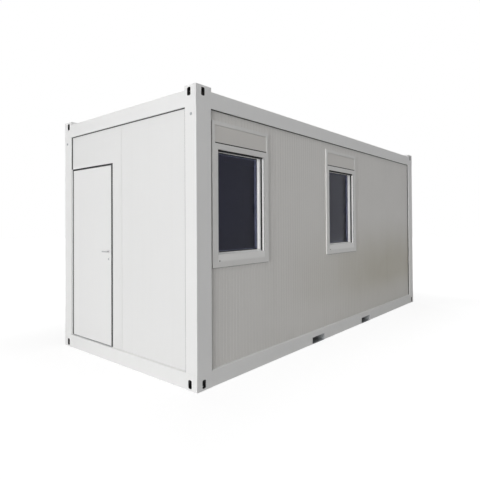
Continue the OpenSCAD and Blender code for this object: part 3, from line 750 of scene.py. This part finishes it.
def solid_copy(node, name):
    """A copy of a node of the frame, with its loose triangles merged into whole faces."""
    made = bpy.data.objects.new(name, nodes[node].data.copy())
    bpy.context.scene.collection.objects.link(made)
    edit_all(made)
    bpy.ops.mesh.remove_doubles(threshold=MERGE)
    bpy.ops.mesh.dissolve_limited(angle_limit=FLAT)
    bpy.ops.object.mode_set(mode="OBJECT")
    return made


def soft_copy(node, name, slot, radius, segments=2, body="cabin"):
    """A copy of a node with its finish and rounded edges, which stands in its place."""
    made = solid_copy(node, name)
    finish_piece(made, slot, body=body, replaces=[node], radius=radius, segments=segments)


def pick(obj, kind, test):
    """Enters edit mode and selects the faces or edges that pass a test, and nothing else."""
    only(obj)
    bpy.ops.object.mode_set(mode="EDIT")
    bpy.ops.mesh.select_mode(type=kind)
    bpy.ops.mesh.select_all(action="DESELECT")
    mesh = bmesh.from_edit_mesh(obj.data)
    for part in mesh.faces if kind == "FACE" else mesh.edges:
        if test(part):
            part.select_set(True)
    bmesh.update_edit_mesh(obj.data)


def second_finish(obj, test):
    """Gives the faces that pass a test the second material of an object."""
    pick(obj, "FACE", test)
    obj.active_material_index = 1
    bpy.ops.object.material_slot_assign()
    bpy.ops.object.mode_set(mode="OBJECT")


def round_edges(obj, test, radius, segments):
    """Bevels the edges that pass a test, and smooths the object."""
    pick(obj, "EDGE", test)
    bpy.ops.mesh.bevel(offset=radius, segments=segments, affect="EDGES", clamp_overlap=True)
    bpy.ops.object.mode_set(mode="OBJECT")
    smooth(obj)


print("helpers for copies and picks are ready")

# %% [markdown]
# ## Corner castings
# The castings are thick hollow steel boxes with rounded outer edges and deep slots. Where they
# meet a post or a rail they are welded and ground flush, so only the free edges and the rims of
# the slots are rounded. Inside, a casting is raw steel, and the faces of the hollow get a second,
# nearly black material, which is painted shade that makes its slots look black.

# %% Which edges and faces of a casting
post_low, post_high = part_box("post_door_window")
POST_SIDE = post_high.x - post_low.x
POST_END = post_high.y - post_low.y
SKIN = 0.003


def depths(point):
    """How far a point lies in from the end and from the side of the cabin."""
    return END - abs(point.x), SIDE - abs(point.y)


def free_edge(edge, joint, free):
    """True for an outer edge or a slot rim that no post or rail meets."""
    if edge.calc_face_angle() < SHARP:
        return False
    a, b = (v.co for v in edge.verts)
    (ax, ay), (bx, by) = depths(a), depths(b)
    on_end, on_side = max(ax, bx) < NEAR, max(ay, by) < NEAR
    on_flat = max(abs(a.z - free), abs(b.z - free)) < NEAR
    at_post = max(abs(a.z - joint), abs(b.z - joint)) < NEAR
    at_rail = min(ax, bx) > POST_SIDE - NEAR or min(ay, by) > POST_END - NEAR
    return (on_end or on_side or on_flat) and not at_post and not at_rail


def in_hollow(face, low, high):
    """True for a face of the hollow or of a slot's wall."""
    centre = face.calc_center_median()
    x, y = depths(centre)
    inside = SKIN < x < POST_SIDE - SKIN and SKIN < y < POST_END - SKIN
    return inside and low + SKIN < centre.z < high - SKIN


print("castings and posts of", round(POST_SIDE, 3), "by", round(POST_END, 3), "m")

# %% Castings
for node in ("base_castings", "roof_castings"):
    low, high = (v.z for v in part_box(node))
    joint, free = (high, low) if node == "base_castings" else (low, high)
    piece = solid_copy(node, "rounded_" + node)
    set_finish(piece, frame_paint, raw_steel_and_shade)
    # the nearly black finish of the hollow is raw steel and painted shade
    second_finish(piece, lambda face: in_hollow(face, low, high))
    round_edges(piece, lambda edge: free_edge(edge, joint, free), radius=0.003, segments=3)
    finish_piece(piece, "frame_paint", replaces=[node])

# %% [markdown]
# ## Wall gaskets
# A black rubber strip closes the joint between each wall and the frame, under the roof rails and
# along the turned edges of the posts. It shows as the thin dark line round the walls, and beside
# the door it stops above the door's own seal. A curve with a round section would do as well, but
# blocks keep the corners neat. They are joined, and one bevel rounds them all.

# %% Blocks
def block(low, high):
    """A box between two corners, as the start of a piece."""
    low, high = Vector(low), Vector(high)
    bpy.ops.mesh.primitive_cube_add(size=1, location=(low + high) / 2, scale=high - low)
    freeze()
    return bpy.context.object


def end_block(end, depth, across, height):
    """A block on an end wall, from ranges of depth, of Y and of Z."""
    x = sorted(end * (END - d) for d in depth)
    return block(*zip(x, across, height))


def side_block(side, depth, along, height):
    """A block on a long wall, from ranges of depth, of X and of Z."""
    y = sorted(side * (SIDE - d) for d in depth)
    return block(*zip(along, y, height))


def merge(name, parts):
    """Joins objects into one piece."""
    bpy.ops.object.select_all(action="DESELECT")
    for part in parts:
        part.select_set(True)
    bpy.context.view_layer.objects.active = parts[0]
    bpy.ops.object.join()
    parts[0].name = name
    return parts[0]


print("helpers for blocks are ready")

# %% Wall gaskets
PANEL_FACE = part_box("door_end_panel")[0].x + END
GASKET = 0.008
GASKET_DEPTH = (0.008, PANEL_FACE)
wall_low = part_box("base_rail_door_end")[1].z
wall_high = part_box("roof_rail_door_end")[0].z
seal_low, seal_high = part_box("door_seal")
end_half, side_half = SIDE - POST_END, END - POST_SIDE
top, upright = (wall_high - GASKET, wall_high), (wall_low, wall_high - GASKET)
over_door = (seal_high.z, wall_high - GASKET)

strips = []
for s in (-1, 1):
    strips.append(end_block(s, GASKET_DEPTH, (-end_half, end_half), top))
    strips.append(side_block(s, GASKET_DEPTH, (-side_half, side_half), top))
    for t in (-1, 1):
        height = over_door if (s, t) == (-1, 1) else upright
        across = sorted((t * end_half, t * (end_half - GASKET)))
        along = sorted((t * side_half, t * (side_half - GASKET)))
        strips.append(end_block(s, GASKET_DEPTH, across, height))
        strips.append(side_block(s, GASKET_DEPTH, along, upright))
gaskets = merge("wall_gaskets", strips)
finish_piece(gaskets, "seal_rubber", rubber, radius=0.0025)

# %% [markdown]
# ## Sealant at the base
# Along the foot of each wall a grey bead of sealant turns the rain from the panel onto the base
# rail. It is a block in the corner whose outer upper edge is bevelled nearly right across, which
# leaves a slanting bead. The doorway has none. A thin line of the same sealant marks where each
# post stands on its casting.

# %% Sealant
BEAD = 0.006
SLANT = 0.8
BEAD_DEPTH = (PANEL_FACE - BEAD, PANEL_FACE)
foot = (wall_low, wall_low + BEAD)
end_reach, side_reach = end_half - GASKET, side_half - GASKET


def outer_upper(edge):
    """True for the long edge of a bead that touches neither the wall nor the rail."""
    a, b = (v.co for v in edge.verts)
    off_wall = all(min(depths(p)) < PANEL_FACE - BEAD / 2 for p in (a, b))
    return off_wall and min(a.z, b.z) > wall_low + BEAD / 2 and (a - b).length > 2 * BEAD


beads = [
    end_block(-1, BEAD_DEPTH, (-end_reach, seal_low.y), foot),
    end_block(1, BEAD_DEPTH, (-end_reach, end_reach), foot),
    side_block(-1, BEAD_DEPTH, (-side_reach, side_reach), foot),
    side_block(1, BEAD_DEPTH, (-side_reach, side_reach), foot),
]
sealing = merge("base_sealant", beads)
round_edges(sealing, outer_upper, radius=SLANT * BEAD, segments=2)
finish_piece(sealing, "seal_rubber", sealant)

# %% Seams under the posts
SEAM = 0.003
SEAM_DEPTH = (-0.0005, 0.002)
SEAM_START = 0.008
seam_height = (wall_low - SEAM / 2, wall_low + SEAM / 2)
seams = []
for s in (-1, 1):
    for t in (-1, 1):
        across = sorted((t * (SIDE - SEAM_START), t * (SIDE - POST_END)))
        seams.append(end_block(s, SEAM_DEPTH, across, seam_height))
seams = merge("post_seams", seams)
finish_piece(seams, "seal_rubber", sealant, radius=0.0004)

# %% [markdown]
# ## Windows
# Casing, sash and shutter cover come out of moulds and folding machines with small radii, and
# those edges catch the light. The nodes have sharp edges, so a merged copy of each is bevelled
# and stands in its place. The handles on the room side are cast and get a larger radius.

# %% Soft window edges
SOFT = {"casing": 0.0017, "sash": 0.0020, "shutter_box": 0.0035}
for which in WINDOWS:
    for part, radius in SOFT.items():
        soft_copy(which + "_" + part, which + "_soft_" + part, "window_plastic", radius)
soft_copy("window_handles", "soft_window_handles", "handle_metal", radius=0.003, segments=3)

# %% [markdown]
# ## Glazing
# The pane is held by a black gasket on the outside and a white bead on the room side. Each is a
# flat ring: a plane the size of the view is inset by the width of the ring, its middle is
# deleted, and Solidify gives it its thickness before the edges are rounded.

# %% Glazing rings
PANE_BITE = Vector((0.0075, 0, 0.0075))
PANE_GASKET = 0.004
BEAD_GAP = 0.001


def ring(name, low, high, y, width, thickness):
    """A ring in the window's plane, from y towards the room, with its outer edge as given."""
    middle = ((low.x + high.x) / 2, y, (low.z + high.z) / 2)
    bpy.ops.mesh.primitive_plane_add(size=1, location=middle, rotation=(math.pi / 2, 0, 0))
    made = bpy.context.object
    made.name = name
    made.scale = (high.x - low.x, high.z - low.z, 1)
    freeze()
    edit_all(made)
    bpy.ops.mesh.inset(thickness=width, depth=0)
    bpy.ops.mesh.delete(type="FACE")
    bpy.ops.object.mode_set(mode="OBJECT")
    use_modifier(made, "SOLIDIFY", thickness=thickness, offset=-1.0, use_even_offset=True)
    return made


for which in WINDOWS:
    low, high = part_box(which + "_glass")
    view = (low + PANE_BITE, high - PANE_BITE)
    gasket = ring(which + "_pane_gasket", *view, low.y - PANE_GASKET, width=0.005, thickness=PANE_GASKET)
    finish_piece(gasket, "seal_rubber", rubber, radius=0.0012)
    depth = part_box(which + "_sash")[1].y - high.y - BEAD_GAP
    bead = ring(which + "_pane_bead", *view, high.y, width=0.014, thickness=depth)
    finish_piece(bead, "window_plastic", sash_white, radius=0.003)

# %% [markdown]
# ## Shutter brushes and painted shade
# The shutter runs in grooves beside the window and comes out of a slot above it. Black brushes
# line both, and dark lips edge the guides. Their near-black pile is also painted shade: it fills the
# slot and the guides, so they show as dark lines between casing and sash. A flat dark lip at the
# foot of the shutter's cover closes its seam and draws the seam's shadow as painted shade. Hairs
# would not show at this size, so each is a block, and one small bevel rounds them all. Depths count
# inwards from the side.

# %% Brushes and painted shade
SLOT_DEPTH = (0.0205, 0.0440)
SLOT_RISE = 0.015
HANG = 0.016
COVER_DEPTH = (0.0058, 0.0092)
COVER_LIP = 0.010
GUIDE_DEPTH = (0.0445, 0.0575)
GUIDE_PAST = (0.001, 0.022)
LIP_DEPTH = (0.0365, 0.0575)
EDGE_DEPTH = (0.0065, 0.0115)
LIP_PAST = (-0.003, 0.001)

for which, middle in middles.items():
    low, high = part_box(which + "_shutter_box")
    span = (middle - OPENING, middle + OPENING)
    brushes = [
        side_block(-1, SLOT_DEPTH, span, (HEAD - HANG, HEAD + SLOT_RISE)),
        side_block(-1, COVER_DEPTH, (low.x, high.x), (low.z, low.z + COVER_LIP)),
    ]
    for s in (-1, 1):
        guide = sorted(middle + s * (OPENING + past) for past in GUIDE_PAST)
        lip = sorted(middle + s * (OPENING + past) for past in LIP_PAST)
        brushes.append(side_block(-1, GUIDE_DEPTH, guide, (SILL, HEAD - HANG)))
        brushes.append(side_block(-1, LIP_DEPTH, lip, (SILL, HEAD - HANG)))
        brushes.append(side_block(-1, EDGE_DEPTH, lip, (SILL, HEAD)))
    # black brushes and lips, also painted shade in the slot, the guides and the cover's seam
    brush = merge(which + "_shutter_brushes_and_shade", brushes)
    finish_piece(brush, "seal_rubber", brush_pile_and_shade, radius=0.0010)

# %% [markdown]
# ## Drip rails
# A white rail is clipped to the foot of each sash and throws the rain clear of the joint below.
# Its front slopes, so it catches light from above and shows as a bright line under the glass.
# It is a block whose upper front edge is bevelled nearly right across.

# %% Drip rails
SASH_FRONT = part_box("near_sash")[0].y + SIDE
DRIP_DEPTH = 0.011
DRIP_HEIGHT = 0.013
DRIP_GAP = 0.005


def drip_edge(edge):
    """True for the long upper front edge of a drip rail."""
    a, b = (v.co for v in edge.verts)
    front = max(depths(p)[1] for p in (a, b)) < SASH_FRONT - DRIP_DEPTH / 2
    return front and min(a.z, b.z) > SILL + DRIP_HEIGHT / 2 and abs(a.x - b.x) > OPENING


for which, middle in middles.items():
    half = OPENING - DRIP_GAP
    depth, height = (SASH_FRONT - DRIP_DEPTH, SASH_FRONT), (SILL + NEAR, SILL + DRIP_HEIGHT)
    rail = side_block(-1, depth, (middle - half, middle + half), height)
    rail.name = which + "_drip_rail"
    round_edges(rail, drip_edge, radius=SLANT * DRIP_DEPTH, segments=3)
    finish_piece(rail, "window_plastic", sash_white)

# %% [markdown]
# ## Weep caps
# Water that gets into a casing runs out through a hole in its sill, which has a small round cap.
# The cap is a short cylinder: its face is inset, pushed in to leave a rim, and the edges are
# rounded.

# %% Discs and copies
def disc(place, turn, radius, thickness, sides=24):
    """A short cylinder that stands on a place, with its axis turned from Z, and that axis."""
    axis = Euler(turn).to_matrix() @ Vector((0, 0, 1))
    middle = Vector(place) + axis * thickness / 2
    bpy.ops.mesh.primitive_cylinder_add(
        vertices=sides, radius=radius, depth=thickness, rotation=turn, location=middle
    )
    freeze()
    return bpy.context.object, axis


def dish(obj, axis, rim, depth):
    """Insets the outer face of a disc and pushes it in."""
    pick(obj, "FACE", lambda face: face.normal.dot(axis) > 0.9)
    bpy.ops.mesh.inset(thickness=rim, depth=0)
    bpy.ops.mesh.extrude_region_move(TRANSFORM_OT_translate={"value": -depth * axis})
    bpy.ops.object.mode_set(mode="OBJECT")


def copy_of(obj, offset):
    """A copy with its own mesh, moved by an offset."""
    only(obj)
    bpy.ops.object.duplicate(linked=False)
    bpy.ops.transform.translate(value=offset)
    freeze()
    return bpy.context.object


def turned_copy(obj, centre):
    """A copy that is turned half round about an upright axis."""
    made = copy_of(obj, (0, 0, 0))
    bpy.ops.transform.rotate(value=math.pi, orient_axis="Z", center_override=centre)
    freeze()
    return made


print("helpers for discs are ready")

# %% Weep caps
OUT_OF_WINDOWS = (math.pi / 2, 0, 0)
CAP_PLACE = Vector((0.097, 0, 0.063))
near_low, far_low = (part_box(which + "_casing")[0] for which in WINDOWS)
cap, axis = disc(near_low + CAP_PLACE, OUT_OF_WINDOWS, radius=0.008, thickness=0.003)
dish(cap, axis, rim=0.002, depth=0.0012)
caps = merge("weep_caps", [cap, copy_of(cap, far_low - near_low)])
finish_piece(caps, "window_plastic", seam_grey, radius=0.0004)

# %% [markdown]
# ## Casing seals and their painted shade
# A grey foam strip closes the joint between the foot of each casing and the wall. It is also painted
# shade: its dark grey stands for the shadow in the gap under the casing, and it shows as a soft dark
# line there. A dark stripe in the casing's paint would look flat from the side, so it is a block
# under the casing with rounded edges.

# %% Casing seals and painted shade
FOAM = 0.006
FOAM_DEPTH = (PANEL_FACE - 0.010, PANEL_FACE)
for which in WINDOWS:
    low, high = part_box(which + "_casing")
    # painted shade: a dark strip for the shadow under each casing
    foam_and_shade = side_block(-1, FOAM_DEPTH, (low.x + FOAM, high.x - FOAM), (low.z - FOAM, low.z))
    foam_and_shade.name = which + "_casing_seal_and_shade"
    finish_piece(foam_and_shade, "window_plastic", seam_grey, radius=0.0015)

# %% [markdown]
# ## Door leaf
# The leaf is pressed from sheet, so its edges are folded with a small radius, and a rubber band
# runs round its edge. A copy of the node is bevelled, and the narrow faces round its body get the
# rubber as a second material, whose near-black also paints the shade in the gap round the door. The
# leaf rides on the door's body, and the seal stays with the cabin.

# %% Leaf and seal
leaf_low, leaf_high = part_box("door_leaf")
RIM_FRONT = leaf_high.x - 0.010
SLACK = 0.001
LEAST_AREA = 0.02


def leaf_edge(face):
    """True for the narrow outer faces round the body of the leaf."""
    centre = face.calc_center_median()
    narrow = abs(face.normal.x) < 0.1 and face.calc_area() > LEAST_AREA
    return narrow and centre.x < RIM_FRONT - SLACK and centre.z > leaf_low.z + SLACK


leaf = solid_copy("door_leaf", "soft_door_leaf")
set_finish(leaf, door_paint, rubber)
# the rubber on the leaf's edge is also painted shade for the gap round the door
second_finish(leaf, leaf_edge)
finish_piece(leaf, "door_paint", body="door", replaces=["door_leaf"], radius=0.0012)
soft_copy("door_seal", "soft_door_seal", "seal_rubber", radius=0.003, segments=3)

# %% [markdown]
# ## Doorway edging and painted shade
# A thin rubber edging covers the cut edge of the panel beside the lock. It is also painted shade: it
# widens the dark line of the shadow gap on that side of the door. It could be a stripe in the
# panel's paint, but a flat block on the panel has a true edge.

# %% Doorway edging and painted shade
EDGING = 0.009
EDGING_DEPTH = (PANEL_FACE - 0.0012, PANEL_FACE)
lock_side = (seal_low.y - EDGING, seal_low.y)
# painted shade: a dark strip for the shadow gap on the lock side
edging_and_shade = end_block(-1, EDGING_DEPTH, lock_side, (seal_low.z, seal_high.z))
edging_and_shade.name = "doorway_edging_and_shade"
finish_piece(edging_and_shade, "seal_rubber", rubber, radius=0.0005)

# %% [markdown]
# ## Roses and key cylinders
# The lever and the lock each have a round rose on both sides of the leaf. On the lock's rose sits
# a key cylinder with a keyway. One cylinder is modelled outside and a copy is turned to the room
# side. The keyway is a dark sliver on its face, painted shade in place of a cut that small. All
# ride on the door.

# %% Roses and key cylinders
OUT_OF_DOOR_END = (0, -math.pi / 2, 0)
rose_low, rose_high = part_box("door_roses")
rose_radius = (rose_high.y - rose_low.y) / 2
lock = Vector((rose_low.x, rose_low.y + rose_radius, rose_low.z + rose_radius))
leaf_middle = ((rose_low.x + rose_high.x) / 2, lock.y, 0)

soft_copy("door_roses", "soft_door_roses", "handle_metal", radius=0.0015, body="door")

barrel, axis = disc(lock, OUT_OF_DOOR_END, radius=0.0085, thickness=0.003)
dish(barrel, axis, rim=0.0015, depth=0.0008)
barrels = merge("key_cylinders", [barrel, turned_copy(barrel, leaf_middle)])
finish_piece(barrels, "handle_metal", bolt_zinc, body="door", radius=0.0004)

# %% Keyways
KEYWAY_HALF = Vector((0.0004, 0.0015, 0.006))
KEYWAY_OUT = 0.0026
keyways = []
for x in (rose_low.x - KEYWAY_OUT, rose_high.x + KEYWAY_OUT):
    centre = Vector((x, lock.y, lock.z))
    keyways.append(block(centre - KEYWAY_HALF, centre + KEYWAY_HALF))
# painted shade: a dark sliver stands for the keyway's recess
keyways = merge("keyways", keyways)
finish_piece(keyways, "handle_metal", raw_steel_and_shade, body="door", radius=0.0003)

# %% [markdown]
# ## Fasteners
# A bolt with a washer holds each post to the roof frame and shows on the end faces. One is
# modelled at the door end and copied to the other three posts. The roof sheet is screwed to the
# rails in the pans between its ribs: one screw is modelled, an Array repeats it along the roof,
# and a copy serves the other side.

# %% Bolts on the posts
WASHER = 1.55
WASHER_THICKNESS = 0.0018
HEAD_THICKNESS = 0.006
BOLT_IN = 0.066
BOLT_LEVEL = 2.616


def bolt(place, turn, radius):
    """A hexagon head on a washer."""
    washer, axis = disc(place, turn, WASHER * radius, WASHER_THICKNESS)
    on_washer = Vector(place) + WASHER_THICKNESS * axis
    head = disc(on_washer, turn, radius, HEAD_THICKNESS, sides=6)[0]
    made = merge("bolt", [washer, head])
    soften(made, radius=0.0005)
    return made


first = bolt((-END, -SIDE + BOLT_IN, BOLT_LEVEL), OUT_OF_DOOR_END, radius=0.0095)
second = copy_of(first, (0, 2 * (SIDE - BOLT_IN), 0))
bolts = merge("door_end_bolts", [first, second])
back = turned_copy(bolts, (0, 0, 0))
back.name = "back_end_bolts"
finish_piece(bolts, "frame_paint", bolt_zinc)
finish_piece(back, "frame_paint", bolt_zinc)

# %% Roof screws
PAN_PITCH = 0.25
PANS = 21
SCREW_IN = 0.014
ROOF_SHEET = 0.002
UPRIGHT = (0, 0, 0)


def repeat(obj, count, offset):
    """Repeats a piece at equal steps."""
    use_modifier(
        obj, "ARRAY", count=count, use_relative_offset=False, use_constant_offset=True,
        constant_offset_displace=offset,
    )


roof_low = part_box("roof_sheet")[0]
start = (-PAN_PITCH * (PANS - 1) / 2, roof_low.y + SCREW_IN, roof_low.z + ROOF_SHEET)
row = bolt(start, UPRIGHT, radius=0.005)
repeat(row, PANS, (PAN_PITCH, 0, 0))
screws = merge("roof_screws", [row, copy_of(row, (0, -2 * start[1], 0))])
finish_piece(screws, "galvanised_steel", bolt_zinc)

# %% [markdown]
# ## Threshold and hinges
# The threshold plate has rolled ridges for grip, and the hinge plates are held by countersunk
# screws. They show when the door stands open. A ridge is a block with its upper edges rounded
# over, repeated across the plate, and a screw is a dished disc.

# %% Threshold ridges
RIDGES = 5
RIDGE_HALF = 0.0025
RIDGE_GAP = 0.02
RIDGE_SUNK = 0.001
RIDGE_HEIGHT = 0.0012
plate_low, plate_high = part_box("door_threshold")
step = (plate_high.x - plate_low.x) / RIDGES
first_x = plate_low.x + step / 2
ridge = block(
    (first_x - RIDGE_HALF, plate_low.y + RIDGE_GAP, plate_high.z - RIDGE_SUNK),
    (first_x + RIDGE_HALF, plate_high.y - RIDGE_GAP, plate_high.z + RIDGE_HEIGHT),
)
soften(ridge, radius=0.001)
repeat(ridge, RIDGES, (step, 0, 0))
ridge.name = "threshold_ridges"
finish_piece(ridge, "galvanised_steel", zinc)

# %% Hinge screws
HINGES = 3
PLATE_HEIGHT = 0.045
PLATE_THICKNESS = 0.004
INTO_ROOM = (0, math.pi / 2, 0)
hinge_low, hinge_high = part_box("leaf_hinges")
hinge_pitch = (hinge_high.z - hinge_low.z - PLATE_HEIGHT) / (HINGES - 1)


def hinge_screws(name, node, y, body):
    """Two screws on each hinge plate of a node, at a distance y from the cabin's middle."""
    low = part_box(node)[0]
    place = (low.x + PLATE_THICKNESS, y, low.z + 0.25 * PLATE_HEIGHT)
    first, axis = disc(place, INTO_ROOM, radius=0.0045, thickness=0.001, sides=16)
    dish(first, axis, rim=0.0022, depth=0.0006)
    pair = merge(name, [first, copy_of(first, (0, 0, 0.5 * PLATE_HEIGHT))])
    repeat(pair, HINGES, (0, 0, hinge_pitch))
    finish_piece(pair, "handle_metal", bolt_zinc, body=body)


hinge_screws("jamb_hinge_screws", "jamb_hinges", y=1.1035, body="cabin")
hinge_screws("leaf_hinge_screws", "leaf_hinges", y=1.0340, body="door")
